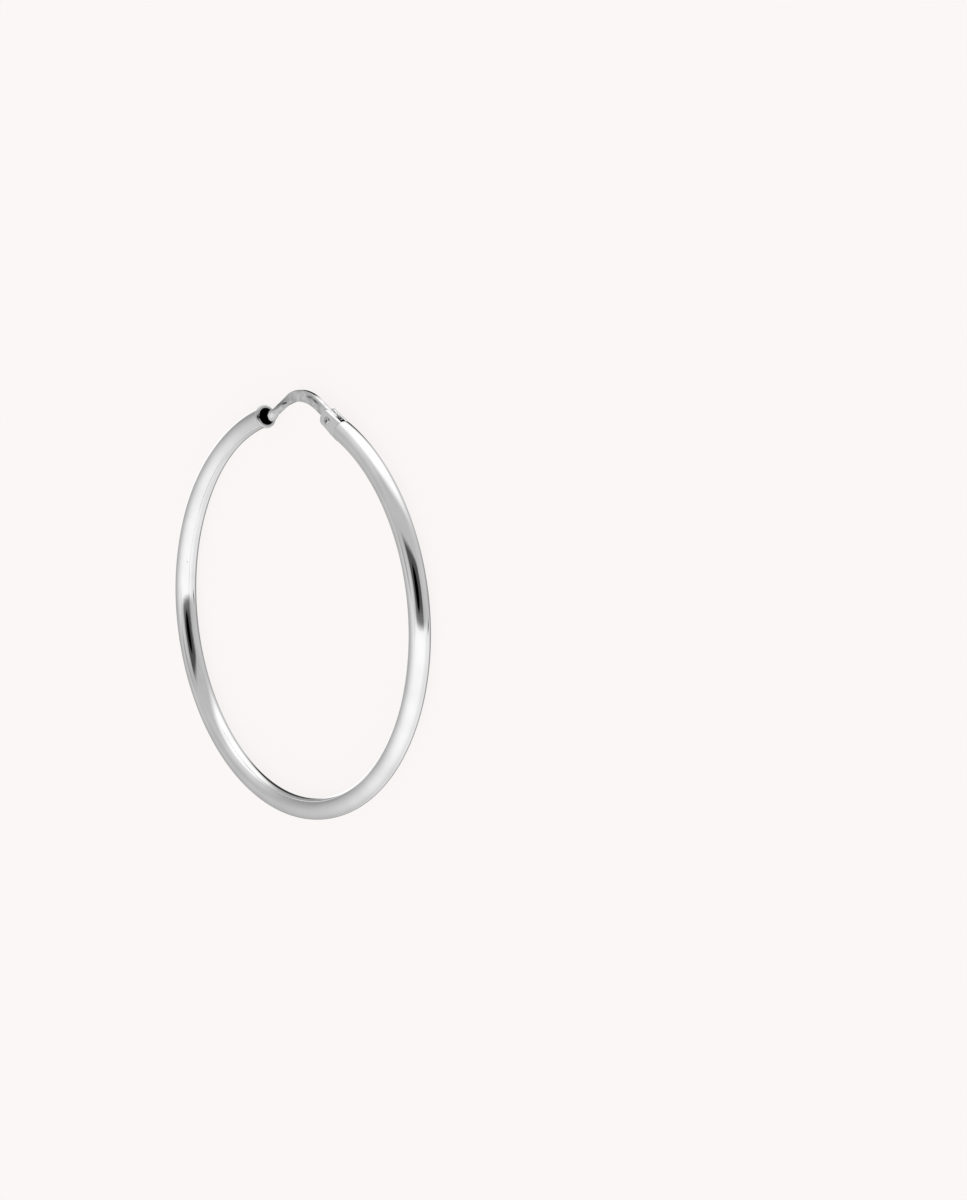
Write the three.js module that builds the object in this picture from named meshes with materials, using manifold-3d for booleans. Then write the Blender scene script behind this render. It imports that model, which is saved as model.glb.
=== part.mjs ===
// A hinged hoop earring of round silver tube. Lengths are in millimetres and angles in degrees.
// The hoop lies on its side: its plane is level, +Z is the hoop's normal, and the gap that the
// ear wire bridges is at +Y. Angles round the hoop run anticlockwise from +X, seen from +Z.
import * as THREE from "three";
import { mergeVertices } from "three/addons/utils/BufferGeometryUtils.js";
import Module from "manifold-3d";

// Hoop tube
const bendRadius = 19; // the tube's centre line
const easedRadius = 19.6; // the slightly straighter stretch that leads to the hinge
const easedFrom = 375; // where that stretch begins
const mouthAngle = 106.7; // the open end
const tubeEndAngle = 428.45; // the hinge end, measured round the eased stretch's own centre
const tubeDiameter = 2.06;
const boreDiameter = 1.56;
const neckDiameter = 1.88; // the tube draws in a little towards its mouth
const neckSpan = [124, 158]; // over which it draws in
const rimDiameter = 2.2; // rolled rim of the mouth
const rimLength = 0.36;
const rimEase = 0.08; // rounding of the rim's edges
const lipFlare = 0.07; // how far the bore opens at its lip
const lipDepth = 0.12;
const endWall = 0.08; // between the bore and the hinge end
const tubeSides = 24;
const boreSides = 12;
const stepAngle = 4.5;

// Clevis on the hinge end: two cheeks with round ends
const clevisLean = 152.6; // direction of its axis, from the tube towards its tip
const clevisHeight = 1.6;
const clevisRearHeight = 1.76;
const clevisTaperLength = 1; // from the pin back to where it has its rear height
const clevisThickness = 1.22;
const clevisShoulder = 0.12; // rounding of its long edges
const clevisTipReach = 1.1; // from the pin to the tip
const clevisTail = 2.3; // from the pin back into the tube
const clevisTipCorner = 0.55; // rounding of the cheeks' ends, along the clevis
const clevisTipRise = 0.7; // the same rounding across it
const slotWidth = 0.7;
const slotIntoTube = 0.14; // how far the slot cuts into the round tube
const cutReach = 3; // how far a cut runs past what it cuts

// Ear wire: a round wire whose hinge half is pressed flat
const archRadius = 5.35;
const archCentre = new THREE.Vector2(0.51, 15.38);
const mouthLean = 30.5; // slope of the straight run on the mouth side
const hingeLean = 180 - clevisLean; // slope of the straight run on the hinge side
const hingeRun = 2.46; // length of that run, from the arch to beside the pin
const pinInset = 0.16; // how far the pin lies inside the middle line of that run
const mouthRun = 2.5; // length of the run on the mouth side, from the arch to the tip's bend
const tipInside = 0.12; // how far the tip's nose stands in the mouth
const tipDrop = 0.06; // how far the tip lies below the bore's axis
const tipDrift = -0.3; // how far the tip lies towards the back of the bore
const ballRadius = 0.54; // the tip's small swelling
const tipLength = 1.4; // from the nose to where the wire has its own diameter
const wireDiameter = 0.82;
const flatThickness = 0.55;
const eyeRadius = 0.72;
const eyeShoulder = 0.08; // rounding of the eye's edges
const wireStep = 0.36; // spacing of the rings past the tip
const turnReach = 0.25; // a ring's direction is averaged this far to both sides of it

// Rivet through the cheeks and the wire's eye
const pinDiameter = 0.6;
const pinClearance = 0.04; // round the shank, in the cheeks and in the eye
const pinHeadRadius = 0.42;
const pinHeadHeight = 0.13;
const headGap = 0.02; // between a head and its cheek
const pinSides = 16;

const tubeRadius = tubeDiameter / 2;
const boreRadius = boreDiameter / 2;
const neckRadius = neckDiameter / 2;
const rimRadius = rimDiameter / 2;
const radians = THREE.MathUtils.degToRad;

const direction = (angle) => new THREE.Vector2(Math.cos(radians(angle)), Math.sin(radians(angle)));

const wasm = await Module();
wasm.setup();

// Turns a closed geometry into a solid that can be joined and cut.
function solidOf(geometry) {
  const bare = geometry.clone();
  bare.deleteAttribute("normal");
  bare.deleteAttribute("uv");
  const merged = mergeVertices(bare, 1e-4);
  return new wasm.Manifold(
    new wasm.Mesh({
      numProp: 3,
      vertProperties: merged.attributes.position.array,
      triVerts: new Uint32Array(merged.index.array),
    }),
  );
}

function geometryOf(solid) {
  const mesh = solid.getMesh();
  const geometry = new THREE.BufferGeometry();
  geometry.setAttribute("position", new THREE.BufferAttribute(mesh.vertProperties, 3));
  geometry.setIndex(new THREE.BufferAttribute(mesh.triVerts, 1));
  geometry.computeVertexNormals();
  return geometry;
}

// Section outlines are lists of [outward, up]. A sweep that runs clockwise seen from +Z, with its
// outward side on the left, gives a skin that faces out.
function roundSection(radius, sides) {
  return Array.from({ length: sides }, (_, side) => {
    const turn = ((side + 0.5) / sides) * 2 * Math.PI;
    return [radius * Math.cos(turn), radius * Math.sin(turn)];
  });
}

function roundedSection(height, thickness, corner, pointsPerCorner = 4) {
  const section = [];
  for (let quarter = 0; quarter < 4; quarter++) {
    const outward = quarter === 0 || quarter === 3 ? 1 : -1;
    const up = quarter < 2 ? 1 : -1;
    for (let point = 0; point < pointsPerCorner; point++) {
      const turn = ((quarter + (point + 0.5) / pointsPerCorner) * Math.PI) / 2;
      section.push([
        outward * (height / 2 - corner) + corner * Math.cos(turn),
        up * (thickness / 2 - corner) + corner * Math.sin(turn),
      ]);
    }
  }
  return section;
}

// Joins rings of equal point count into one closed skin with a fan over each end.
function loft(rings) {
  const sides = rings[0].length;
  const positions = rings.flat().flatMap((point) => point.toArray());
  const indices = [];
  for (let ring = 0; ring < rings.length - 1; ring++) {
    for (let side = 0; side < sides; side++) {
      const here = ring * sides + side;
      const next = ring * sides + ((side + 1) % sides);
      indices.push(here, next, next + sides, here, next + sides, here + sides);
    }
  }
  const last = (rings.length - 1) * sides;
  for (let side = 1; side < sides - 1; side++) {
    indices.push(0, side + 1, side);
    indices.push(last, last + side, last + side + 1);
  }
  const geometry = new THREE.BufferGeometry();
  geometry.setAttribute("position", new THREE.Float32BufferAttribute(positions, 3));
  geometry.setIndex(indices);
  return geometry;
}

// Sets a section outline round a point, given the horizontal direction that is outward.
function ringAt(point, height, outward, section) {
  return section.map(
    ([across, up]) =>
      new THREE.Vector3(point.x + outward.x * across, point.y + outward.y * across, height + up),
  );
}

// A point of the hoop's centre line. Past easedFrom the bend has its own, larger radius.
function hoopPoint(angle) {
  const outward = direction(angle);
  if (angle <= easedFrom) return outward.multiplyScalar(bendRadius);
  const easedCentre = direction(easedFrom).multiplyScalar(bendRadius - easedRadius);
  return outward.multiplyScalar(easedRadius).add(easedCentre);
}

function tubeRing(angle, radius, sides) {
  return ringAt(hoopPoint(angle), 0, direction(angle), roundSection(radius, sides));
}

// The tube's radius between its neck and its full size, blended smoothly.
function tubeRadiusAt(angle) {
  return THREE.MathUtils.lerp(
    neckRadius,
    tubeRadius,
    THREE.MathUtils.smoothstep(angle, neckSpan[0], neckSpan[1]),
  );
}

// The angle that a length along the tube takes up.
const angleOf = (length) => THREE.MathUtils.radToDeg(length / bendRadius);

function tubeSkin() {
  const rimProfile = [
    { behindMouth: 0, radius: rimRadius - rimEase },
    { behindMouth: rimEase, radius: rimRadius },
    { behindMouth: rimLength - rimEase, radius: rimRadius },
    { behindMouth: rimLength, radius: neckRadius },
  ];
  const endProfile = [
    { beforeEnd: 0.25, radius: tubeRadius },
    { beforeEnd: 0.09, radius: tubeRadius - 0.05 },
    { beforeEnd: 0, radius: tubeRadius - 0.15 },
  ];
  const rings = rimProfile.map(({ behindMouth, radius }) =>
    tubeRing(mouthAngle + angleOf(behindMouth), radius, tubeSides),
  );
  const steps = Math.round((tubeEndAngle - mouthAngle) / stepAngle);
  for (let step = 1; step < steps; step++) {
    const angle = THREE.MathUtils.lerp(mouthAngle, tubeEndAngle, step / steps);
    rings.push(tubeRing(angle, tubeRadiusAt(angle), tubeSides));
  }
  for (const { beforeEnd, radius } of endProfile) {
    rings.push(tubeRing(tubeEndAngle - angleOf(beforeEnd), radius, tubeSides));
  }
  return loft(rings.reverse());
}

// The hollow: from outside the mouth to just short of the tube's hinge end.
function boreSkin() {
  const lip = [
    { behindMouth: -rimLength, radius: boreRadius + lipFlare },
    { behindMouth: 0, radius: boreRadius + lipFlare },
    { behindMouth: lipDepth, radius: boreRadius },
  ];
  const boreEnd = tubeEndAngle - angleOf(endWall);
  const rings = lip.map(({ behindMouth, radius }) =>
    tubeRing(mouthAngle + angleOf(behindMouth), radius, boreSides),
  );
  const steps = Math.round((boreEnd - mouthAngle) / stepAngle);
  for (let step = 1; step <= steps; step++) {
    const angle = THREE.MathUtils.lerp(mouthAngle, boreEnd, step / steps);
    rings.push(tubeRing(angle, boreRadius, boreSides));
  }
  return loft(rings.reverse());
}

// The ear wire's straight runs are tangents of its arch, and the pin is beside the end of one.
const archAt = (angle) => direction(angle).multiplyScalar(archRadius).add(archCentre);
const runEnd = archAt(90 - hingeLean).add(direction(-hingeLean).multiplyScalar(hingeRun));
const pinPlace = runEnd.clone().addScaledVector(direction(90 - hingeLean), -pinInset);

// A flat shape set with its origin on the pin and its x axis along the clevis.
function placedOnPin(geometry, lean) {
  geometry.rotateZ(radians(lean));
  geometry.translate(pinPlace.x, pinPlace.y, 0);
  return geometry;
}

// Extrudes a flat shape evenly to both sides of the hoop's plane.
function plate(shape, thickness, shoulder, curveSegments) {
  const geometry = new THREE.ExtrudeGeometry(shape, {
    depth: thickness - 2 * shoulder,
    bevelEnabled: shoulder > 0,
    bevelThickness: shoulder,
    bevelSize: shoulder,
    bevelOffset: -shoulder,
    bevelSegments: 3,
    curveSegments,
  });
  return geometry.translate(0, 0, shoulder - thickness / 2);
}

function clevisPlate() {
  const half = clevisHeight / 2;
  const rearHalf = clevisRearHeight / 2;
  const tip = clevisTipReach;
  const cornerStart = tip - clevisTipCorner;
  const tipHalf = half - clevisTipRise;
  const shape = new THREE.Shape();
  shape.moveTo(-clevisTail, -rearHalf);
  shape.lineTo(-clevisTaperLength, -rearHalf);
  shape.lineTo(0, -half);
  shape.lineTo(cornerStart, -half);
  shape.quadraticCurveTo(tip, -half, tip, -tipHalf);
  shape.lineTo(tip, tipHalf);
  shape.quadraticCurveTo(tip, half, cornerStart, half);
  shape.lineTo(0, half);
  shape.lineTo(-clevisTaperLength, rearHalf);
  shape.lineTo(-clevisTail, rearHalf);
  shape.closePath();
  return placedOnPin(plate(shape, clevisThickness, clevisShoulder, 5), clevisLean);
}

// The saw cut between the cheeks. It ends where the round tube begins, and opens into the bore.
function slotCut() {
  const outward = direction(tubeEndAngle);
  const back = hoopPoint(tubeEndAngle - angleOf(slotIntoTube));
  const past = direction(tubeEndAngle + 90).multiplyScalar(clevisTail + clevisTipReach + cutReach);
  const corners = [
    back.clone().addScaledVector(outward, -cutReach),
    back.clone().addScaledVector(outward, cutReach),
    back.clone().addScaledVector(outward, cutReach).add(past),
    back.clone().addScaledVector(outward, -cutReach).add(past),
  ];
  return plate(new THREE.Shape(corners), slotWidth, 0, 1);
}

// A round cutter on the pin's axis, for a wall of the given thickness.
function pinHole(thickness) {
  const radius = pinDiameter / 2 + pinClearance;
  const hole = new THREE.CylinderGeometry(radius, radius, thickness + cutReach, pinSides);
  hole.rotateX(Math.PI / 2);
  hole.translate(pinPlace.x, pinPlace.y, 0);
  return hole;
}

function hoopTube() {
  return geometryOf(
    solidOf(tubeSkin())
      .add(solidOf(clevisPlate()))
      .subtract(solidOf(boreSkin()))
      .subtract(solidOf(slotCut()))
      .subtract(solidOf(pinHole(clevisThickness))),
  );
}

// Route of the ear wire in the hoop's plane, from the tip's nose to beside the pin.
function wireRoute() {
  const outOfMouth = direction(mouthAngle - 90);
  const mouthCentre = hoopPoint(mouthAngle);
  const nose = mouthCentre
    .clone()
    .addScaledVector(outOfMouth, -tipInside)
    .addScaledVector(direction(mouthAngle), -tipDrop);
  const ball = nose.clone().addScaledVector(outOfMouth, ballRadius);
  const bend = archAt(90 + mouthLean).addScaledVector(direction(mouthLean), -mouthRun);
  const route = new THREE.Path();
  route.moveTo(nose.x, nose.y);
  route.lineTo(ball.x, ball.y);
  route.lineTo(bend.x, bend.y);
  route.absarc(
    archCentre.x,
    archCentre.y,
    archRadius,
    radians(90 + mouthLean),
    radians(90 - hingeLean),
    true,
  );
  route.lineTo(runEnd.x, runEnd.y);
  return route;
}

// Sections of the wire by their distance from the nose. Where the corner is half the height it is
// round, and on the hinge half the flat sides have small rounded corners.
const wireSections = [
  { at: 0, height: 0.2, thickness: 0.2, corner: 0.1 },
  { at: 0.06, height: 0.5, thickness: 0.5, corner: 0.25 },
  { at: 0.17, height: 0.78, thickness: 0.78, corner: 0.39 },
  { at: 0.32, height: 0.98, thickness: 0.98, corner: 0.49 },
  { at: ballRadius, height: 2 * ballRadius, thickness: 2 * ballRadius, corner: ballRadius },
  { at: 0.76, height: 1.03, thickness: 1.03, corner: 0.515 },
  { at: 1.05, height: 0.9, thickness: 0.9, corner: 0.45 },
  { at: tipLength, height: wireDiameter, thickness: wireDiameter, corner: wireDiameter / 2 },
  { at: 2.6, height: 0.8, thickness: 0.78, corner: 0.38 },
  { at: 3.5, height: 0.84, thickness: 0.72, corner: 0.3 },
  { at: 4.4, height: 0.96, thickness: 0.62, corner: 0.18 },
  { at: 5.4, height: 1.06, thickness: flatThickness, corner: 0.12 },
  { at: 6.4, height: 1.12, thickness: flatThickness, corner: 0.1 },
  { at: 8.6, height: 1.14, thickness: flatThickness, corner: 0.1 },
  { at: 9.6, height: 1.12, thickness: flatThickness, corner: 0.1 },
];

// The section at any distance, between the two rows of the table that hold it.
function wireSectionAt(distance) {
  const after = wireSections.findIndex(({ at }) => at >= distance);
  if (after === -1) return wireSections.at(-1);
  const high = wireSections[after];
  const low = wireSections[Math.max(after - 1, 0)];
  const share = high.at > low.at ? (distance - low.at) / (high.at - low.at) : 0;
  const between = (key) => THREE.MathUtils.lerp(low[key], high[key], share);
  return { height: between("height"), thickness: between("thickness"), corner: between("corner") };
}

function wireSkin() {
  const route = wireRoute();
  const length = route.getLength();
  const driftEnd = mouthRun + 2 * ballRadius + archRadius / 2; // past it the wire is in the plane
  const stations = wireSections.map(({ at }) => at).filter((at) => at < tipLength);
  const steps = Math.round((length - tipLength) / wireStep);
  for (let step = 0; step <= steps; step++) {
    stations.push(THREE.MathUtils.lerp(tipLength, length, step / steps));
  }
  const rings = stations.map((at) => {
    const before = route.getPointAt(Math.max(at - turnReach, 0) / length);
    const after = route.getPointAt(Math.min(at + turnReach, length) / length);
    const along = after.sub(before).normalize();
    const outward = new THREE.Vector2(-along.y, along.x);
    const drift = tipDrift * (1 - THREE.MathUtils.smoothstep(at, 0, driftEnd));
    const { height, thickness, corner } = wireSectionAt(at);
    const section = roundedSection(height, thickness, corner);
    return ringAt(route.getPointAt(at / length), drift, outward, section);
  });
  return loft(rings);
}

function earWire() {
  const eye = new THREE.Shape();
  eye.absarc(0, 0, eyeRadius, 0, 2 * Math.PI);
  const eyePlate = placedOnPin(plate(eye, flatThickness, eyeShoulder, pinSides / 2), 0);
  return geometryOf(
    solidOf(wireSkin()).add(solidOf(eyePlate)).subtract(solidOf(pinHole(flatThickness))),
  );
}

// The rivet: a shank with a low domed head outside each cheek. The head's rows are shares of its
// radius and height, from its seat on the cheek to its top.
function hingePin() {
  const shank = pinDiameter / 2;
  const seat = clevisThickness / 2 + headGap;
  const head = [
    { radius: 0.96, rise: 0 },
    { radius: 1, rise: 0.25 },
    { radius: 0.8, rise: 0.72 },
    { radius: 0.42, rise: 0.96 },
    { radius: 0, rise: 1 },
  ];
  const upper = [
    new THREE.Vector2(shank, seat),
    ...head.map(
      ({ radius, rise }) => new THREE.Vector2(radius * pinHeadRadius, seat + rise * pinHeadHeight),
    ),
  ];
  const lower = upper.map(({ x, y }) => new THREE.Vector2(x, -y)).reverse();
  const rivet = new THREE.LatheGeometry([...lower, ...upper], pinSides);
  rivet.rotateX(Math.PI / 2);
  rivet.translate(pinPlace.x, pinPlace.y, 0);
  return rivet;
}

const polishedSilver = { metalness: 1, roughness: 0.12 };
const pieces = [
  { name: "hoop_tube", geometry: hoopTube(), colour: 0xe4e2de },
  { name: "ear_wire", geometry: earWire(), colour: 0xd9d7d3 },
  { name: "hinge_pin", geometry: hingePin(), colour: 0xcfccc8 },
];

const earring = new THREE.Group();
for (const { name, geometry, colour } of pieces) {
  const material = new THREE.MeshStandardMaterial({ color: colour, ...polishedSilver });
  const mesh = new THREE.Mesh(geometry, material);
  mesh.name = name;
  earring.add(mesh);
}

// The part's origin is under the middle of its box, on the surface that it lies on.
const box = new THREE.Box3().setFromObject(earring);
const middle = box.getCenter(new THREE.Vector3());
earring.position.set(-middle.x, -middle.y, -box.min.z);

export default earring;
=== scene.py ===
import math

import bpy
import numpy
from mathutils import Matrix, Vector


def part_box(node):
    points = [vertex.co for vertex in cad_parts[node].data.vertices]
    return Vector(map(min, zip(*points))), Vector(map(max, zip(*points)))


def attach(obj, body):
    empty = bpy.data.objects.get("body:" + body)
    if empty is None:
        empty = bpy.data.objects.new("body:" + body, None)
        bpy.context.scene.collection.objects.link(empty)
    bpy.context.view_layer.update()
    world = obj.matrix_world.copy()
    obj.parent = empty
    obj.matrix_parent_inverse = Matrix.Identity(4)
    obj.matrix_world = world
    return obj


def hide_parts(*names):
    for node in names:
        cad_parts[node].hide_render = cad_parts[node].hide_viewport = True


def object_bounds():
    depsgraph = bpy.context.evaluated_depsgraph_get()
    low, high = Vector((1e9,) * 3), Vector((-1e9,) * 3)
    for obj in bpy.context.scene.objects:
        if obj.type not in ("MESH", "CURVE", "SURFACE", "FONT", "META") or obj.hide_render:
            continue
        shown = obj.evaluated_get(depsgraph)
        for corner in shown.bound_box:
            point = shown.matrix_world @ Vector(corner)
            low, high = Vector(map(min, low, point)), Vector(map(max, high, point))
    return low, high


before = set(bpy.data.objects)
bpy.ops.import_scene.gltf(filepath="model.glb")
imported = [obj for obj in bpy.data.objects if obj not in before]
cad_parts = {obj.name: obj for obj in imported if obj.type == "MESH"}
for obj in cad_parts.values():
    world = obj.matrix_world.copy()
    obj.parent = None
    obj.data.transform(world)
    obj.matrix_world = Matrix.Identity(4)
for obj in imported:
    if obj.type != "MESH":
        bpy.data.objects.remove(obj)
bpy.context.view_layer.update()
scene = bpy.context.scene
mm = 0.001

# The hinge pin gives the middle of the hoop: the ear wire's arch, worked out from the hoop's middle,
# ends beside the pin. Places are in millimetres from the hoop's middle, with the hoop level, and angles
# are in degrees, apart from what says otherwise.
archRadius = 5.35
archCentre = numpy.array([0.51, 15.38])
clevisLean = 152.6  # direction of the clevis, from the tube towards its tip
hingeLean = 180 - clevisLean  # slope of the wire's straight run to the hinge
hingeRun = 2.46  # length of that run
pinInset = 0.16  # how far the pin lies inside the middle line of the run


def direction(angle):
    turn = math.radians(angle)
    return numpy.array([math.cos(turn), math.sin(turn)])


def archAt(angle):
    return archCentre + archRadius * direction(angle)


runEnd = archAt(90 - hingeLean) + hingeRun * direction(-hingeLean)
pinPlace = runEnd - pinInset * direction(90 - hingeLean)
pinLow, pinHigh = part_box("hinge_pin")
hoopCentre = (pinLow + pinHigh) / 2 / mm - Vector((*pinPlace, 0))
print("frame loaded, hoop centre at", [round(c, 3) for c in hoopCentre], "mm")


# Small helpers

sharpAngle = 32  # an edge whose faces meet at more than this stays sharp
edgeSteps = 7  # rings round a plate's rounded edge


def linear(hexColour):  # sRGB hex to the linear colour that the sockets take
    channels = [int(hexColour[i:i + 2], 16) / 255 for i in (1, 3, 5)]
    return [c / 12.92 if c <= 0.04045 else ((c + 0.055) / 1.055) ** 2.4 for c in channels] + [1]


def addNode(tree, kind, settings=None, links=None):  # a link from a node takes its first live output
    node = tree.nodes.new(kind)
    for name, value in (settings or {}).items():
        if isinstance(name, int) or name in node.inputs:
            node.inputs[name].default_value = value
        else:
            setattr(node, name, value)
    for name, source in (links or {}).items():
        if hasattr(source, "outputs"):
            source = next(socket for socket in source.outputs if socket.enabled)
        tree.links.new(source, node.inputs[name])
    return node


def smoothstep(value, low, high):
    share = numpy.clip((value - low) / (high - low), 0, 1)
    return share * share * (3 - 2 * share)


def smoothBetween(at, rows, values):  # a smooth curve through the rows of a table
    slopes = numpy.gradient(values, rows)
    row = numpy.clip(numpy.searchsorted(rows, at) - 1, 0, len(rows) - 2)
    span = rows[row + 1] - rows[row]
    t = numpy.clip((at - rows[row]) / span, 0, 1)
    start = (2 * t**3 - 3 * t**2 + 1) * values[row] + (t**3 - 2 * t**2 + t) * span * slopes[row]
    end = (3 * t**2 - 2 * t**3) * values[row + 1] + (t**3 - t**2) * span * slopes[row + 1]
    return start + end


def meshFrom(name, rings, material=None):  # closed skin through rings of points, in mm from the middle
    rings = numpy.asarray(rings)
    count, sides = rings.shape[:2]
    points = (rings.reshape(-1, 3) + numpy.array(hoopCentre)) * mm
    faces = [
        (r * sides + s, r * sides + (s + 1) % sides,
         (r + 1) * sides + (s + 1) % sides, (r + 1) * sides + s)
        for r in range(count - 1) for s in range(sides)
    ]
    faces.append(tuple(reversed(range(sides))))
    faces.append(tuple((count - 1) * sides + s for s in range(sides)))
    mesh = bpy.data.meshes.new(name)
    mesh.from_pydata(points.tolist(), [], faces)
    if material:
        mesh.materials.append(material)
    made = bpy.data.objects.new(name, mesh)
    scene.collection.objects.link(made)
    return made


def carve(piece, tool, operation):  # joins the tool to the piece or cuts it away, then drops it
    step = piece.modifiers.new("carve", "BOOLEAN")
    step.operation = operation
    step.solver = "EXACT"
    step.material_mode = "TRANSFER"  # what the tool cuts takes the tool's material
    step.object = tool
    graph = bpy.context.evaluated_depsgraph_get()
    carved = bpy.data.meshes.new_from_object(piece.evaluated_get(graph))
    piece.modifiers.clear()
    piece.data = carved
    bpy.data.objects.remove(tool)


def smoothShaded(piece, sharpFrom):
    piece.data.shade_smooth()
    piece.data.set_sharp_from_angle(angle=math.radians(sharpFrom))


# Silver

# Soft dark strokes, each from one point to another: a few are real marks on the metal, the rest are painted
# shade in grooves, folds and hollows. Width and depth are measured from the line between them, and soft is
# how much of that way a stroke takes to reach its own tone.
def tarnishAndPaintedShade(tree, place, colour, marks):
    for mark in marks:
        start, stop = Vector(mark["from"]), Vector(mark["to"])
        reach = (stop - start).length / 2 + mark["width"] / 2
        lean = math.atan2(stop.y - start.y, stop.x - start.x)
        size = (reach * mm, mark["width"] * mm, mark["depth"] * mm)
        local = addNode(tree, "ShaderNodeMapping",
                        {"label": mark["name"], "vector_type": "TEXTURE",
                         "Location": (hoopCentre + (start + stop) / 2) * mm,
                         "Rotation": (0, 0, lean), "Scale": size},
                        {"Vector": place})
        nearness = addNode(tree, "ShaderNodeTexGradient", {"gradient_type": "SPHERICAL"}, {0: local})
        share = addNode(tree, "ShaderNodeMapRange",
                        {"interpolation_type": "SMOOTHSTEP", "From Min": 0, "From Max": mark["soft"]},
                        {"Value": nearness.outputs["Fac"]})
        colour = addNode(tree, "ShaderNodeMix", {"data_type": "RGBA", 7: linear(mark["tone"])},
                         {0: share, 6: colour})
    return colour


def silverMaterial(name, values, marks=(), detail=None):
    material = bpy.data.materials.new(name)
    material.use_nodes = True
    tree = material.node_tree
    tree.nodes.clear()
    place = addNode(tree, "ShaderNodeTexCoord").outputs["Object"]
    # cloudy patches, where the buff took a little more or less off
    clouds = addNode(tree, "ShaderNodeTexNoise",
                     {"Scale": 1 / (values["cloudSize"] * mm), "Detail": 3}, {"Vector": place})
    cover = addNode(tree, "ShaderNodeMapRange", {"From Min": 0.35, "From Max": 0.65}, {"Value": clouds})
    colour = addNode(tree, "ShaderNodeMix",
                     {"data_type": "RGBA", 6: linear(values["clean"]), 7: linear(values["worn"])}, {0: cover})
    colour = tarnishAndPaintedShade(tree, place, colour, marks)
    # buffing haze, drawn coarser than the real one to show at all
    haze = addNode(tree, "ShaderNodeTexNoise",
                   {"Scale": 1 / (values["hazeSize"] * mm), "Detail": 4, "Roughness": 0.6}, {"Vector": place})
    rough = addNode(tree, "ShaderNodeMapRange",
                    {"From Min": 0.3, "From Max": 0.75,
                     "To Min": values["roughness"][0], "To Max": values["roughness"][1]}, {"Value": haze})
    # long faint waves left by drawing and bending
    waves = addNode(tree, "ShaderNodeTexNoise",
                    {"Scale": 1 / (values["waveSize"] * mm), "Detail": 1, "Roughness": 0.4},
                    {"Vector": place})
    bump = addNode(tree, "ShaderNodeBump", {"Strength": 1, "Distance": values["waveHeight"] * mm},
                   {"Height": waves})
    bump = addNode(tree, "ShaderNodeBump", {"Strength": 1, "Distance": values["hazeHeight"] * mm},
                   {"Height": haze, "Normal": bump})
    if detail:
        bump = detail(tree, place, bump)
    surface = addNode(tree, "ShaderNodeBsdfPrincipled", {"Metallic": 1},
                      {"Base Color": colour, "Roughness": rough, "Normal": bump})
    addNode(tree, "ShaderNodeOutputMaterial", None, {"Surface": surface})
    return material


drawingLines = {  # left by the draw plate
    "length": 5,  # mm
    "width": 0.09,  # coarser than the real ones, so that they show
    "height": 0.0008,
}


def linesAlongTube(tree, place, bump):
    v = drawingLines
    offset = addNode(tree, "ShaderNodeVectorMath", {"operation": "SUBTRACT", 1: hoopCentre * mm}, {0: place})
    apart = addNode(tree, "ShaderNodeSeparateXYZ", None, {0: offset}).outputs
    level = addNode(tree, "ShaderNodeVectorMath", {"operation": "MULTIPLY", 1: (1, 1, 0)}, {0: offset})
    reach = addNode(tree, "ShaderNodeVectorMath", {"operation": "LENGTH"}, {0: level}).outputs["Value"]
    aside = addNode(tree, "ShaderNodeMath",
                    {"operation": "SUBTRACT", 1: hoopValues["bendRadius"] * mm}, {0: reach})
    ahead = addNode(tree, "ShaderNodeMath", {"operation": "MULTIPLY", 1: -1}, {0: apart["Y"]})
    # turns in radians, each with its jump where it isn't seen: at the ear wire's gap and underneath
    along = addNode(tree, "ShaderNodeMath", {"operation": "ARCTAN2"}, {0: apart["X"], 1: ahead})
    around = addNode(tree, "ShaderNodeMath", {"operation": "ARCTAN2"}, {0: aside, 1: apart["Z"]})
    both = addNode(tree, "ShaderNodeCombineXYZ", None, {"X": along, "Y": around})
    scale = (hoopValues["bendRadius"] / v["length"], hoopValues["tubeRadius"] / v["width"], 0)
    spread = addNode(tree, "ShaderNodeVectorMath", {"operation": "MULTIPLY", 1: scale}, {0: both})
    lines = addNode(tree, "ShaderNodeTexNoise", {"Scale": 1, "Detail": 2}, {"Vector": spread})
    return addNode(tree, "ShaderNodeBump", {"Strength": 1, "Distance": v["height"] * mm},
                   {"Height": lines, "Normal": bump})


# The pit is a pinprick on the front of the tube, and the rim's haze covers it all round.
hoopMarks = [
    {"name": "pit", "from": (-17.95, 2.57, 0.57), "to": (-17.95, 2.58, 0.57),
     "width": 0.075, "depth": 0.1, "soft": 0.6, "tone": "#404040"},
    # painted shade: the groove behind the rim is darkened in colour to stand for the shade that falls in it
    {"name": "painted shade in the groove behind the rim", "from": (-6.52, 17.8, 0.3), "to": (-6.2, 18.5, 0.3),
     "width": 0.12, "depth": 0.5, "soft": 0.7, "tone": "#505050"},
    {"name": "haze on the rim", "from": (-4.7, 15.7, 0), "to": (-6.3, 20.9, 0),
     "width": 0.45, "depth": 3, "soft": 0.5, "tone": "#D4D4D4"},
]

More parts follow.
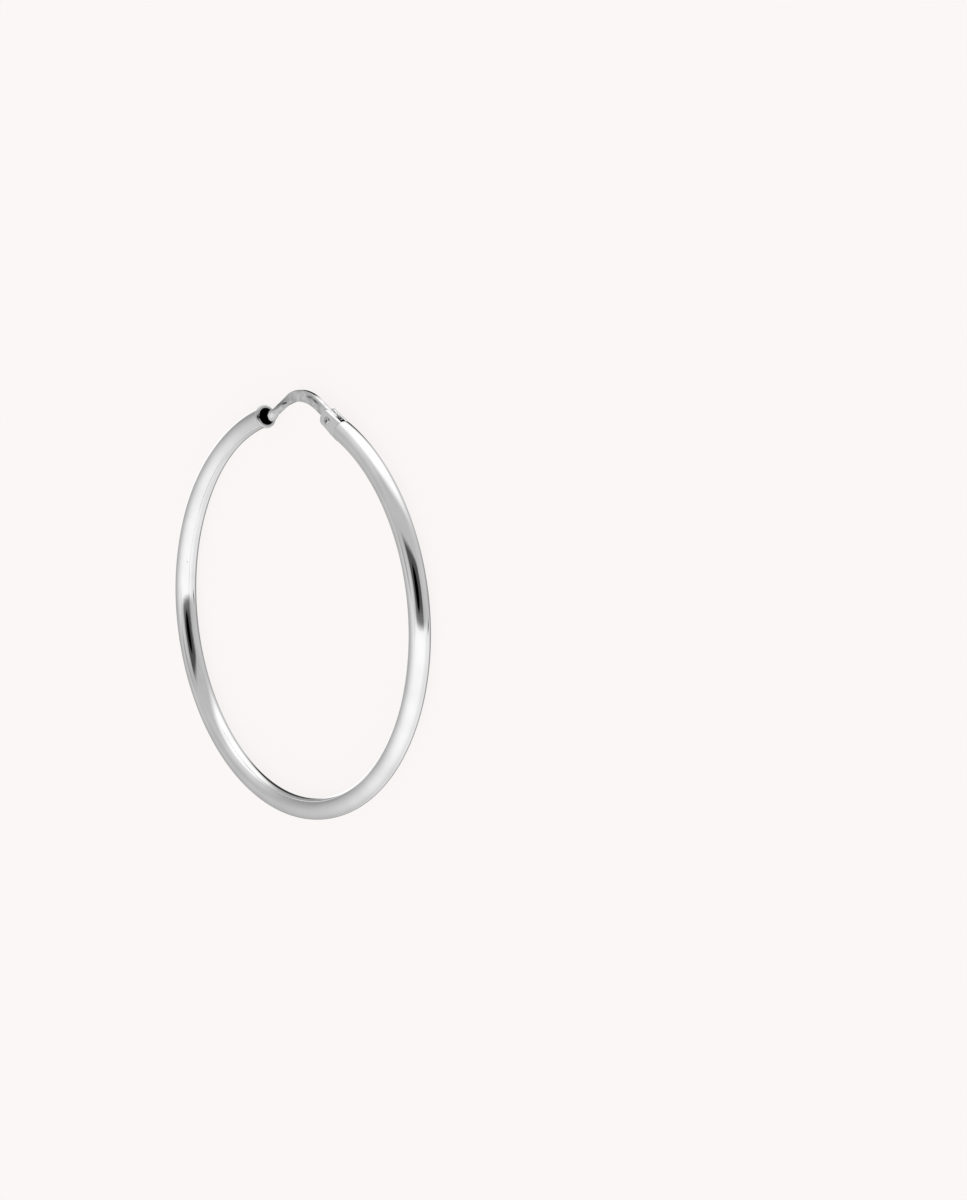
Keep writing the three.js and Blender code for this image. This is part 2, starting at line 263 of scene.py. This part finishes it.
# Painted shade: these strokes darken the wire's colour to stand for shade and dark reflections on the tip's
# outer side, at its step and in the folds of the arch
wirePaintedShade = [
    {"name": "painted shade on the outer side of the tip", "from": (-4.9, 18.78, 0.15), "to": (-2.45, 19.83, 0.15),
     "width": 0.27, "depth": 0.5, "soft": 0.5, "tone": "#A8A8A8"},
    {"name": "painted shade at the step of the tip's end", "from": (-2.85, 19.57, 0.2), "to": (-1.65, 19.95, 0.3),
     "width": 0.12, "depth": 0.3, "soft": 0.6, "tone": "#505050"},
    {"name": "painted shade in the fold at the top", "from": (1.2, 20.78, 0.3), "to": (2.5, 20.72, 0.3),
     "width": 0.2, "depth": 0.2, "soft": 0.9, "tone": "#848484"},
    {"name": "painted shade in the fold towards the hinge", "from": (2.1, 20.76, 0.3), "to": (3.45, 20.16, 0.3),
     "width": 0.2, "depth": 0.2, "soft": 0.8, "tone": "#787878"},
]


# Sterling silver, drawn as tube, bent, then buffed with rouge: a clear mirror with the faintest
# haze and lengthwise lines, neutral in colour, in which the tent's edges stay crisp.
def hoopFinish():
    return silverMaterial("polished sterling silver tube", {
        "clean": "#F8F8F8", "worn": "#EEEEEE", "cloudSize": 4,
        "hazeSize": 0.3, "hazeHeight": 0.001, "roughness": (0.03, 0.06),
        "waveSize": 5, "waveHeight": 0.01,
    }, hoopMarks, linesAlongTube)


# The same silver as wire, pressed flat between steel jaws and buffed less: a slightly softer mirror.
def wireFinish():
    return silverMaterial("pressed sterling silver wire", {
        "clean": "#F4F4F4", "worn": "#D0D0D0", "cloudSize": 0.8,
        "hazeSize": 0.25, "hazeHeight": 0.004, "roughness": (0.06, 0.12),
        "waveSize": 1.1, "waveHeight": 0.03,
    }, wirePaintedShade)


# A peened rivet head: hammered over, so a little duller and darker than the rest.
def pinFinish():
    # painted shade: the dark stroke in the dimple stands for the shade in the punch's hollow
    dimple = {"name": "dimple", "from": (*(pinPlace - (0.14, 0.12)), 0.6),
              "to": (*(pinPlace + (0.1, 0.1)), 0.6),
              "width": 0.16, "depth": 0.4, "soft": 0.7, "tone": "#505050"}
    return silverMaterial("peened sterling silver rivet", {
        "clean": "#F0F0F0", "worn": "#C0C0C0", "cloudSize": 0.4,
        "hazeSize": 0.12, "hazeHeight": 0.003, "roughness": (0.08, 0.16),
        "waveSize": 0.25, "waveHeight": 0.02,
    }, [dimple])


# The bore and the saw cut are never polished and keep their grey skin from the soldering; their colour is
# made darker still, as painted shade deep in the bore and on the slot's floor: dark, nearly matt metal.
def boreFinish():
    return silverMaterial("unpolished sterling silver darkened as painted shade", {
        "clean": "#3A3938", "worn": "#1E1D1D", "cloudSize": 0.6,
        "hazeSize": 0.06, "hazeHeight": 0.001, "roughness": (0.5, 0.7),
        "waveSize": 0.8, "waveHeight": 0.01,
    })


# Hoop tube

hoopValues = {
    "bendRadius": 19,
    "easedRadius": 19.6,  # the slightly straighter stretch to the hinge
    "easedFrom": 375,
    "mouthAngle": 106.7,
    "endAngle": 428.45,
    "tubeRadius": 1.03,
    "boreRadius": 0.78,
    "neckRadius": 0.94,  # the tube draws in a little towards its mouth
    "neckSpan": (124, 158),
    "rimRadius": 1.13,  # rolled rim of the mouth
    "rimFoot": 0.93,  # radius where the rolled bead starts, front and back
    "rimLength": 0.36,
    "rimSwell": 0.75,  # below 1 the bead is blunter than round
    "rimSteps": 16,
    "rimGap": 0.04,
    "endInner": 0.3,  # share of the radius at which each flat end is closed
    "endRound": 0.17,
    "endSteps": 8,
    "lipFlare": 0.07,
    "lipDepth": 0.12,
    "lipSteps": 8,
    "lipToBore": 0.5,  # degrees from the lip to the bore's first ring
    "boreOvershoot": 0.3,  # how far its cutter stands out of the mouth
    "endWall": 0.08,
    "sides": 112,
    "boreSides": 64,
    "step": 0.8,  # degrees
}


hoopSilver = hoopFinish()
boreSilver = boreFinish()


def alongTube(length):  # degrees that a length along the tube takes up
    return math.degrees(length / hoopValues["bendRadius"])


def hoopPoint(angle):
    v = hoopValues
    if angle <= v["easedFrom"]:
        return v["bendRadius"] * direction(angle)
    easedCentre = (v["bendRadius"] - v["easedRadius"]) * direction(v["easedFrom"])
    return easedCentre + v["easedRadius"] * direction(angle)


def tubeRing(angle, radius, sides):
    turns = (numpy.arange(sides) + 0.5) / sides * 2 * math.pi
    outward = numpy.array([*direction(angle), 0])
    up = numpy.array([0, 0, 1])
    centre = numpy.array([*hoopPoint(angle), 0])
    return centre + radius * (numpy.outer(numpy.cos(turns), outward) + numpy.outer(numpy.sin(turns), up))


def tubeRadiusAt(angle):
    v = hoopValues
    return v["neckRadius"] + (v["tubeRadius"] - v["neckRadius"]) * smoothstep(angle, *v["neckSpan"])


def outerTube():
    v = hoopValues
    profile = [(v["mouthAngle"], v["endInner"] * v["rimRadius"])]
    for step in range(v["rimSteps"] + 1):
        turn = math.pi * step / v["rimSteps"]
        back = v["rimLength"] / 2 * (1 - math.cos(turn))
        swell = max(math.sin(turn), 0) ** v["rimSwell"]
        radius = v["rimFoot"] + (v["rimRadius"] - v["rimFoot"]) * swell
        profile.append((v["mouthAngle"] + alongTube(back), radius))
    start = v["mouthAngle"] + alongTube(v["rimLength"] + v["rimGap"])
    stop = v["endAngle"] - alongTube(v["endRound"])
    for angle in numpy.linspace(start, stop, round((stop - start) / v["step"])):
        profile.append((angle, tubeRadiusAt(angle)))
    for step in range(1, v["endSteps"] + 1):
        turn = math.pi / 2 * step / v["endSteps"]
        profile.append((stop + alongTube(v["endRound"] * math.sin(turn)),
                        v["tubeRadius"] - v["endRound"] * (1 - math.cos(turn))))
    profile.append((v["endAngle"], v["endInner"] * v["tubeRadius"]))
    return meshFrom("hoopTube", [tubeRing(a, r, v["sides"]) for a, r in reversed(profile)], hoopSilver)


def boreCutter():
    v = hoopValues
    profile = [(v["mouthAngle"] - alongTube(v["boreOvershoot"]), v["boreRadius"] + v["lipFlare"])]
    for step in range(v["lipSteps"] + 1):
        turn = math.pi / 2 * step / v["lipSteps"]
        profile.append((v["mouthAngle"] + alongTube(v["lipDepth"] * math.sin(turn)),
                        v["boreRadius"] + v["lipFlare"] * math.cos(turn)))
    start = profile[-1][0] + v["lipToBore"]
    stop = v["endAngle"] - alongTube(v["endWall"])
    for angle in numpy.linspace(start, stop, round((stop - start) / (2 * v["step"]))):
        profile.append((angle, v["boreRadius"]))
    return meshFrom("bore", [tubeRing(a, r, v["boreSides"]) for a, r in reversed(profile)], boreSilver)


# Clevis: two cheeks on the hinge end of the tube

clevisValues = {
    "height": 1.6,
    "rearHeight": 1.76,
    "taperLength": 1,
    "thickness": 1.22,
    "shoulder": 0.12,
    "tipReach": 1.1,
    "tail": 2.3,
    "tipCorner": 0.55,
    "tipRise": 0.7,
    "cornerSteps": 15,
    "slotWidth": 0.61,
    "slotIntoTube": 0.14,
    "cutReach": 3,
}


def onPin(points, lean):  # flat points set on the pin, with their x axis turned to the lean
    along = direction(lean)
    across = direction(lean + 90)
    return pinPlace + numpy.outer(points[:, 0], along) + numpy.outer(points[:, 1], across)


def clevisOutline():
    v = clevisValues
    half, rearHalf, tip = v["height"] / 2, v["rearHeight"] / 2, v["tipReach"]
    corner = numpy.array([[tip - v["tipCorner"], -half], [tip, -half], [tip, v["tipRise"] - half]])
    bend = [(1 - t) ** 2 * corner[0] + 2 * t * (1 - t) * corner[1] + t * t * corner[2]
            for t in numpy.linspace(0, 1, v["cornerSteps"])]
    lower = [[-v["tail"], -rearHalf], [-v["taperLength"], -rearHalf], [0, -half], *bend]
    upper = [[x, -y] for x, y in reversed(lower)]
    return numpy.array([*lower, *upper])


def shrunk(outline, inset):  # moves a convex outline inwards by the same distance all round
    before = outline - numpy.roll(outline, 1, axis=0)
    after = numpy.roll(outline, -1, axis=0) - outline
    normals = []
    for edge in (before, after):
        length = numpy.linalg.norm(edge, axis=1, keepdims=True)
        normals.append(numpy.stack([edge[:, 1], -edge[:, 0]], axis=1) / length)
    middle = normals[0] + normals[1]
    middle /= numpy.linalg.norm(middle, axis=1, keepdims=True)
    return outline - inset * middle / (middle * normals[0]).sum(axis=1, keepdims=True)


def roundedPlate(name, outline, lean, thickness, shoulder, material):
    upper = []
    for turn in numpy.linspace(0, math.pi / 2, edgeSteps):
        flat = onPin(shrunk(outline, shoulder * (1 - math.cos(turn))), lean)
        level = thickness / 2 - shoulder * (1 - math.sin(turn))
        upper.append(numpy.column_stack([flat, numpy.full(len(flat), level)]))
    lower = [ring * (1, 1, -1) for ring in reversed(upper)]
    return meshFrom(name, lower + upper, material)


def slotCutter():
    v = clevisValues
    outward = direction(hoopValues["endAngle"])
    ahead = direction(hoopValues["endAngle"] + 90)
    back = hoopPoint(hoopValues["endAngle"] - alongTube(v["slotIntoTube"]))
    reach = v["tail"] + v["tipReach"] + v["cutReach"]
    corners = [back - v["cutReach"] * outward, back + v["cutReach"] * outward,
               back + v["cutReach"] * outward + reach * ahead, back - v["cutReach"] * outward + reach * ahead]
    rings = [[[*corner, level] for corner in corners] for level in (-v["slotWidth"] / 2, v["slotWidth"] / 2)]
    cutter = meshFrom("slot", rings, boreSilver)
    cutter.data.materials.append(hoopSilver)
    # the cheeks' inner faces are polished, the slot's floor isn't and takes the bore's dark colour, which is
    # partly painted shade
    for face in cutter.data.polygons:
        face.material_index = round(abs(face.normal.z))
    return cutter


def circle(radius, sides):
    turns = numpy.arange(sides) / sides * 2 * math.pi
    return radius * numpy.column_stack([numpy.cos(turns), numpy.sin(turns)])


pinValues = {
    "radius": 0.3,
    "clearance": 0.04,
    "holeOvershoot": 1,  # how far the holes' cutter stands out on each side
    "headRadius": 0.4,
    "headHeight": 0.07,
    "headEdge": 0.16,  # rounding of the head's rim
    "headFoot": 0.96,  # share of the head's radius at its foot
    "footHeight": 0.03,
    "headSteps": 8,
    "dimpleRadius": 0.2,
    "dimpleDepth": 0.1,
    "dimpleSteps": 9,
    "dimpleFlat": 0.012,  # radius of the flat at its bottom
    "headGap": 0.02,
    "sides": 48,
    "sharpAngle": 40,
}


def pinHoleCutter(thickness):
    v = pinValues
    flat = pinPlace + circle(v["radius"] + v["clearance"], v["sides"])
    reach = thickness / 2 + v["holeOvershoot"]
    rings = [numpy.column_stack([flat, numpy.full(len(flat), level)]) for level in (-reach, reach)]
    return meshFrom("pinHole", rings, boreSilver)


def hoopTube():
    v = clevisValues
    piece = outerTube()
    clevis = roundedPlate("clevis", clevisOutline(), clevisLean, v["thickness"], v["shoulder"], hoopSilver)
    carve(piece, clevis, "UNION")
    for cutter in (boreCutter(), slotCutter(), pinHoleCutter(v["thickness"])):
        carve(piece, cutter, "DIFFERENCE")
    smoothShaded(piece, sharpAngle)
    return piece


hoop = hoopTube()
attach(hoop, "hoop")
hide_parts("hoop_tube")
print("hoop tube:", len(hoop.data.polygons), "faces")


# Ear wire: round at its tip, pressed flat towards the hinge

wireValues = {
    "mouthLean": 30.5,
    "mouthRun": 2.5,
    "tipInside": 0.12,
    "tipDrop": 0.06,  # towards the hoop's middle
    "tipDrift": -0.3,  # sideways
    "ballRadius": 0.54,
    "wireRadius": 0.41,
    "ballEnd": 1.35,  # from the nose to where the wire has its own thickness
    "eyeRadius": 0.72,
    "eyeShoulder": 0.08,
    "eyeSides": 64,
    "eyeInset": 0.002,  # keeps its faces from lying in the wire's own
    "flatThickness": 0.55,
    "outerFall": 0.5,  # fall of the filed face outside the tip's ridge
    "leastHeight": 0.1,  # of what the file leaves at its edge
    "filedEnd": (3.4, 5.8),  # where the filing runs out on the flat of the arch
    "sides": 96,
    "step": 0.08,
    "archSteps": 120,
    "routeStep": 0.02,
    "bendPoints": 12,  # of the route, on each side, over which the bend behind the tip is evened out
    "noseSteps": 14,
    "noseRadius": 0.02,
    "directionSpan": 0.1,  # the wire's direction is taken this far before and after each ring
}

wireSilver = wireFinish()

# Width, thickness and squareness of the wire, by distance from its nose. Squareness 2 is round.
wireSections = numpy.array([
    [1.4, 0.82, 0.82, 2.0],
    [2.2, 0.81, 0.82, 2.0],
    [3.4, 0.84, 0.76, 2.2],
    [4.0, 0.92, 0.64, 3.4],
    [4.4, 0.98, 0.58, 6.0],
    [5.4, 1.07, 0.55, 6.5],
    [6.4, 1.13, 0.55, 6.5],
    [8.6, 1.15, 0.55, 6.5],
    [9.6, 1.13, 0.55, 6.5],
    [11.9, 1.12, 0.55, 6.5],
])

# Filed ridge along the front of the tip, by distance from the nose: its place across, its height and
# the fall of the face inside it
wireRidge = numpy.array([
    [0.5, 0.46, 0.60, 0.10],
    [1.4, 0.30, 0.42, 0.15],
    [2.0, 0.20, 0.38, 0.25],
    [3.0, 0.02, 0.36, 0.50],
    [4.2, -0.22, 0.33, 0.50],
    [5.8, -0.30, 0.33, 0.30],
])


def wireRoute():  # points along the middle of the wire, from the nose to beside the pin
    v = wireValues
    mouth = hoopPoint(hoopValues["mouthAngle"])
    outOfMouth = direction(hoopValues["mouthAngle"] - 90)
    nose = mouth - v["tipInside"] * outOfMouth - v["tipDrop"] * direction(hoopValues["mouthAngle"])
    ball = nose + v["ballRadius"] * outOfMouth
    bend = archAt(90 + v["mouthLean"]) - v["mouthRun"] * direction(v["mouthLean"])
    arch = [archAt(a) for a in numpy.linspace(90 + v["mouthLean"], 90 - hingeLean, v["archSteps"])]
    corners = numpy.array([nose, ball, bend, *arch, runEnd])
    lengths = numpy.cumsum(numpy.linalg.norm(numpy.diff(corners, axis=0), axis=1))
    lengths = numpy.concatenate([[0], lengths])
    at = numpy.linspace(0, lengths[-1], round(lengths[-1] / v["routeStep"]))
    route = numpy.column_stack([numpy.interp(at, lengths, corners[:, axis]) for axis in (0, 1)])
    half = v["bendPoints"]
    before = [route[0] + (route[0] - route[1]) * k for k in range(half, 0, -1)]
    beyond = [route[-1] + (route[-1] - route[-2]) * k for k in range(1, half + 1)]
    padded = numpy.vstack([before, route, beyond])
    kernel = numpy.ones(2 * half + 1) / (2 * half + 1)
    smooth = numpy.column_stack([numpy.convolve(padded[:, axis], kernel, "valid") for axis in (0, 1)])
    return at, smooth


def wireSection(at):  # width, thickness and squareness
    v = wireValues
    if at < v["ballRadius"]:
        square = v["ballRadius"] ** 2 - (v["ballRadius"] - at) ** 2
        radius = math.sqrt(max(square, v["noseRadius"] ** 2))
        return 2 * radius, 2 * radius, 2
    if at < v["ballEnd"]:
        swelling = v["ballRadius"] - v["wireRadius"]
        radius = v["ballRadius"] - swelling * smoothstep(at, v["ballRadius"], v["ballEnd"])
        return 2 * radius, 2 * radius, 2
    rows = wireSections[:, 0]
    return [float(smoothBetween(numpy.array(at), rows, wireSections[:, column])) for column in (1, 2, 3)]


def wireSkin():
    v = wireValues
    at, route = wireRoute()
    driftEnd = v["mouthRun"] + 2 * v["ballRadius"] + archRadius / 2
    noseTurns = numpy.linspace(0, math.pi / 2, v["noseSteps"])
    nose = [v["ballRadius"] * (1 - math.cos(turn)) for turn in noseTurns]
    stations = [*nose, *numpy.arange(v["ballRadius"] + v["step"], at[-1], v["step"]), at[-1]]
    turns = numpy.arange(v["sides"]) / v["sides"] * 2 * math.pi
    rings = []
    for station in stations:
        behind, point, ahead = [
            numpy.array([numpy.interp(station + shift, at, route[:, axis]) for axis in (0, 1)])
            for shift in (-v["directionSpan"], 0, v["directionSpan"])
        ]
        along = (ahead - behind) / numpy.linalg.norm(ahead - behind)
        outward = numpy.array([-along[1], along[0]])
        width, thickness, squareness = wireSection(station)
        power = 2 / squareness
        across = width / 2 * numpy.sign(numpy.cos(turns)) * numpy.abs(numpy.cos(turns)) ** power
        up = thickness / 2 * numpy.sign(numpy.sin(turns)) * numpy.abs(numpy.sin(turns)) ** power
        if wireRidge[0, 0] < station < wireRidge[-1, 0]:
            place, height, fall = [
                numpy.interp(station, wireRidge[:, 0], wireRidge[:, column]) for column in (1, 2, 3)
            ]
            roof = height - numpy.where(across > place, v["outerFall"], fall) * numpy.abs(across - place)
            filed = numpy.minimum(up, numpy.maximum(roof, v["leastHeight"]))
            up = filed + (up - filed) * smoothstep(station, *v["filedEnd"])
        drift = v["tipDrift"] * (1 - smoothstep(station, 0, driftEnd))
        flat = point + numpy.outer(across, outward)
        rings.append(numpy.column_stack([flat, up + drift]))
    return meshFrom("earWire", rings, wireSilver)


def earWire():
    v = wireValues
    piece = wireSkin()
    thickness = v["flatThickness"] - v["eyeInset"]
    outline = circle(v["eyeRadius"], v["eyeSides"])
    eye = roundedPlate("eye", outline, 0, thickness, v["eyeShoulder"], wireSilver)
    carve(piece, eye, "UNION")
    carve(piece, pinHoleCutter(v["flatThickness"]), "DIFFERENCE")
    smoothShaded(piece, sharpAngle)
    return piece


wire = earWire()
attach(wire, "wire")
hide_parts("ear_wire")
print("ear wire:", len(wire.data.polygons), "faces")


# Hinge pin: a rivet with low heads, each dimpled by the punch that spread it

pinSilver = pinFinish()


def hingePin():
    v = pinValues
    seat = clevisValues["thickness"] / 2 + v["headGap"]
    top = seat + v["headHeight"]
    profile = [(v["radius"], seat), (v["headFoot"] * v["headRadius"], seat)]
    for turn in numpy.linspace(0, math.pi / 2, v["headSteps"]):
        profile.append((v["headRadius"] - v["headEdge"] * (1 - math.cos(turn)),
                        seat + v["footHeight"] + (v["headHeight"] - v["footHeight"]) * math.sin(turn)))
    for share in numpy.linspace(1, 0, v["dimpleSteps"]):  # the punch's dimple in its middle
        radius = max(v["dimpleRadius"] * share, v["dimpleFlat"])
        profile.append((radius, top - v["dimpleDepth"] * (1 - smoothstep(share, 0, 1))))
    whole = [(radius, -level) for radius, level in reversed(profile)] + profile
    rings = []
    for radius, level in whole:
        flat = pinPlace + circle(radius, v["sides"])
        rings.append(numpy.column_stack([flat, numpy.full(len(flat), level)]))
    piece = meshFrom("hingePin", rings, pinSilver)
    smoothShaded(piece, v["sharpAngle"])
    return piece


pin = hingePin()
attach(pin, "hoop")
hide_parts("hinge_pin")
print("hinge pin:", len(pin.data.polygons), "faces")


# Studio: a pale lit table in a white tent, whose one dark slit is towards the camera

studioValues = {
    "table": "#6C6B6B",
    "tableHalf": 1.5,  # metres
    "tableGlow": 0.885,  # what comes through from below, as a share of the backdrop's brightness
    "backdrop": "#FBF7F6",
    "lightStrength": 0.25,
    "lightSpread": 110,
    "lightAim": (-0.25, 0.3, -1),
    "tentStrength": 1.125,  # so that a tone of the tent shows as that tone in the silver
}


def makeTable():
    half = studioValues["tableHalf"]
    level = min(0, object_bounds()[0].z)
    corners = [(-half, -half, level), (half, -half, level), (half, half, level), (-half, half, level)]
    mesh = bpy.data.meshes.new("table")
    mesh.from_pydata(corners, [], [(0, 1, 2, 3)])
    table = bpy.data.objects.new("table", mesh)
    scene.collection.objects.link(table)
    material = bpy.data.materials.new("matt opal acrylic, lit from below")
    material.use_nodes = True
    surface = material.node_tree.nodes["Principled BSDF"].inputs
    surface["Base Color"].default_value = linear(studioValues["table"])
    surface["Roughness"].default_value = 1
    surface["Specular IOR Level"].default_value = 0
    surface["Emission Color"].default_value = linear(studioValues["backdrop"])
    surface["Emission Strength"].default_value = studioValues["tableGlow"]
    mesh.materials.append(material)
    table.visible_glossy = False  # the silver mirrors the tent all round, as if it hung in it


# Places in the tent are compass angles from +X and heights above the horizon.
tentValues = {
    "brightHalf": ("#A5A5A5", "#F6F6F6"),  # its tone away from and at its middle
    "brightMiddle": (-14, 28),
    "greyHalf": "#B5B5B5",
    "edge": (0, -0.055, 0.055),  # where the two meet: compass turn, offset and softness
    "lowerBright": "#E0E0E0",
    "lowerGrey": "#C0C0C0",
    "lowerSpan": (-13, -57),  # heights over which the halves turn to these
    "zenith": "#CECECE",
    "zenithSpan": (78, 89.5),
}

slitValues = {
    "farEdge": (30, 14, 3.5),  # its compass angle at the horizon, lean and softness
    "foot": (-13, -2),  # heights over which it fades in
    "head": (74, 63),  # and out
    "edgeTone": "#707070",
    "tone": "#4C4C4C",
    "inner": (-0.02, 0.14),  # how far past the bright half it reaches its own tone
}

# Soft oval patches of the tent: half its width and height, and how much of the way in from its edge it
# takes to reach its own tone.
tentPanels = [
    {"name": "dark opening", "middle": (16.5, 36), "size": (12.5, 19), "fade": 0.28, "tone": "#000000"},
    {"name": "veil", "middle": (113, 36), "size": (34, 39), "fade": 1, "tone": "#D0D0D0"},
    {"name": "window", "middle": (94, -16), "size": (41, 72), "fade": 0.45, "tone": "#FFFFFF"},
    {"name": "dusk", "middle": (158, -5), "size": (37, 58), "fade": 0.68, "tone": "#999999"},
    {"name": "glow", "middle": (178, -19), "size": (12, 30), "fade": 0.3, "tone": "#FFFFFF"},
    {"name": "floor shade", "middle": (-152, -56), "size": (26, 57), "fade": 0.6, "tone": "#8A8A8A"},
    {"name": "dark corner", "middle": (155, -38), "size": (22, 18), "fade": 0.4, "tone": "#303030"},
    {"name": "seam", "middle": (-10, -62), "size": (3.5, 14), "fade": 0.8, "tone": "#303030"},
]


def makeTent():
    world = bpy.data.worlds.new("light tent")
    scene.world = world
    world.use_nodes = True
    tree = world.node_tree
    tree.nodes.clear()
    look = addNode(tree, "ShaderNodeTexCoord").outputs["Generated"]
    height = addNode(tree, "ShaderNodeSeparateXYZ", None, {0: look}).outputs["Z"]

    def sine(angle):
        return math.sin(math.radians(angle))

    def lookTo(compass, rise):  # the direction of a place in the tent
        return Vector((*(direction(compass) * math.cos(math.radians(rise))), sine(rise)))

    def rising(source, start, end):  # 0 before start and 1 past end, with a soft passage
        return addNode(tree, "ShaderNodeMapRange",
                       {"interpolation_type": "SMOOTHSTEP", "From Min": start, "From Max": end},
                       {"Value": source})

    t = tentValues
    towards = addNode(tree, "ShaderNodeVectorMath",
                      {"operation": "DOT_PRODUCT", 1: lookTo(*t["brightMiddle"])}, {0: look})
    bright = addNode(tree, "ShaderNodeMix",
                     {"data_type": "RGBA", 6: linear(t["brightHalf"][0]), 7: linear(t["brightHalf"][1])},
                     {0: rising(towards.outputs["Value"], -1, 1)})
    turn, offset, soft = t["edge"]
    past = addNode(tree, "ShaderNodeVectorMath", {"operation": "DOT_PRODUCT", 1: (*direction(90 - turn), 0)},
                   {0: look}).outputs["Value"]
    greyHalf = rising(past, offset - soft, offset + soft)
    tent = addNode(tree, "ShaderNodeMix", {"data_type": "RGBA", 7: linear(t["greyHalf"])},
                   {0: greyHalf, 6: bright})
    lower = addNode(tree, "ShaderNodeMix",
                    {"data_type": "RGBA", 6: linear(t["lowerBright"]), 7: linear(t["lowerGrey"])},
                    {0: greyHalf})
    lowerShare = rising(height, *map(sine, t["lowerSpan"]))
    tent = addNode(tree, "ShaderNodeMix", {"data_type": "RGBA"}, {0: lowerShare, 6: tent, 7: lower})
    zenithShare = rising(height, *map(sine, t["zenithSpan"]))
    tent = addNode(tree, "ShaderNodeMix", {"data_type": "RGBA", 7: linear(t["zenith"])},
                   {0: zenithShare, 6: tent})

    s = slitValues
    angle, lean, soft = s["farEdge"]
    tilt = math.radians(lean)
    normal = (*(math.cos(tilt) * direction(angle + 90)), -math.sin(tilt))
    far = addNode(tree, "ShaderNodeVectorMath", {"operation": "DOT_PRODUCT", 1: normal}, {0: look})
    inside = greyHalf
    for share in (rising(far.outputs["Value"], sine(soft), -sine(soft)),
                  rising(height, *map(sine, s["foot"])), rising(height, *map(sine, s["head"]))):
        inside = addNode(tree, "ShaderNodeMath", {"operation": "MULTIPLY"}, {0: inside, 1: share})
    slit = addNode(tree, "ShaderNodeMix",
                   {"data_type": "RGBA", 6: linear(s["edgeTone"]), 7: linear(s["tone"])},
                   {0: rising(past, *s["inner"])})
    tent = addNode(tree, "ShaderNodeMix", {"data_type": "RGBA"}, {0: inside, 6: tent, 7: slit})

    for panel in tentPanels:
        compass, rise = panel["middle"]
        local = addNode(tree, "ShaderNodeMapping",
                        {"label": panel["name"], "vector_type": "TEXTURE", "Location": lookTo(compass, rise),
                         "Rotation": (0, -math.radians(rise), math.radians(compass)),
                         "Scale": (1, sine(panel["size"][0]), sine(panel["size"][1]))}, {"Vector": look})
        nearness = addNode(tree, "ShaderNodeTexGradient", {"gradient_type": "SPHERICAL"}, {0: local})
        tent = addNode(tree, "ShaderNodeMix", {"data_type": "RGBA", 7: linear(panel["tone"])},
                       {0: rising(nearness.outputs["Fac"], 0, panel["fade"]), 6: tent})

    seen = addNode(tree, "ShaderNodeBackground", {"Color": linear(studioValues["backdrop"])})
    lit = addNode(tree, "ShaderNodeBackground", {"Strength": studioValues["tentStrength"]}, {"Color": tent})
    rays = addNode(tree, "ShaderNodeLightPath")
    both = addNode(tree, "ShaderNodeMixShader", None, {0: rays.outputs["Is Camera Ray"], 1: lit, 2: seen})
    addNode(tree, "ShaderNodeOutputWorld", None, {"Surface": both})


def makeLight():
    data = bpy.data.lights.new("soft overhead", "SUN")
    data.energy = studioValues["lightStrength"]
    data.angle = math.radians(studioValues["lightSpread"])
    light = bpy.data.objects.new("soft overhead", data)
    scene.collection.objects.link(light)
    light.rotation_euler = Vector(studioValues["lightAim"]).to_track_quat("-Z", "Y").to_euler()
    light.visible_glossy = False  # it lights the table, and the silver mirrors the tent alone


makeTable()
makeTent()
makeLight()
print("studio made")


# Camera, from the photo's angle

cameraValues = {
    "compass": 11.2,  # from +X towards +Y
    "height": 35.5,
    "roll": -96.14,
    "distance": 414.8,  # mm from the hoop's middle
    "lens": 130.08,
    "sensor": 36,
    "clip": (0.01, 10),  # metres
    "panRight": 17.683,  # mm from the hoop's middle to the point aimed at
    "panUp": 1.074,
}


def makeCamera():
    v = cameraValues
    a, e, roll = (math.radians(v[key]) for key in ("compass", "height", "roll"))
    back = Vector((math.cos(a) * math.cos(e), math.sin(a) * math.cos(e), math.sin(e)))
    level = Vector((-math.sin(a), math.cos(a), 0))
    right = level * math.cos(roll) + back.cross(level) * math.sin(roll)
    up = back.cross(right)
    middle = hoopCentre * mm
    place = middle + back * v["distance"] * mm
    aim = middle + right * v["panRight"] * mm + up * v["panUp"] * mm
    back = (place - aim).normalized()
    right = up.cross(back).normalized()
    up = back.cross(right)
    data = bpy.data.cameras.new("camera")
    data.sensor_width = v["sensor"]
    data.lens = v["lens"]
    data.clip_start, data.clip_end = v["clip"]
    camera = bpy.data.objects.new("camera", data)
    scene.collection.objects.link(camera)
    turned = Matrix((right, up, back)).transposed().to_4x4()
    camera.matrix_world = Matrix.Translation(place) @ turned
    scene.camera = camera


makeCamera()
scene.view_settings.view_transform = "Standard"
scene.view_settings.look = "None"
print("camera set")
